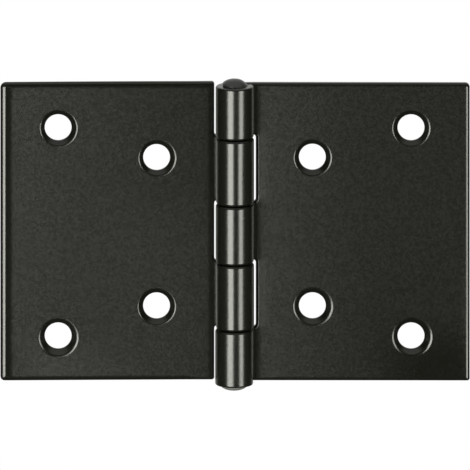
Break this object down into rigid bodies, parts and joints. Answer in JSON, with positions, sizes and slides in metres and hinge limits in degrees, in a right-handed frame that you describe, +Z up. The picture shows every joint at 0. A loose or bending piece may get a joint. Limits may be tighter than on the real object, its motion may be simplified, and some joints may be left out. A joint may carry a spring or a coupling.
{
  "type": "broad butt hinge",
  "caption": "Broad butt hinge of rolled sheet steel with a satin black coat: two wide leaves with countersunk screw holes, turning on a riveted pin.",
  "frame": {"origin": "on the pin's axis, at the middle of the barrel", "axes": "+Z up along the pin, +X out along the three-knuckle leaf, +Y out of the leaves' flat backs"},
  "size_m": [0.1232, 0.01, 0.084],
  "materials": {
    "leaf_coat": "satin black coat with a fine grain over rolled sheet steel",
    "pin_coat": "duller dark grey coat over a riveted steel pin"
  },
  "bodies": {
    "fixed_leaf": {"three_knuckle_leaf": "leaf_coat", "hinge_pin": "pin_coat"},
    "swinging_leaf": {"two_knuckle_leaf": "leaf_coat"}
  },
  "joints": [
    {"name": "leaf_swing", "type": "hinge", "parent": "fixed_leaf", "child": "swinging_leaf", "pos_m": [0, 0, 0], "axis": [0, 0, 1], "range_deg": [-95, 185]}
  ]
}
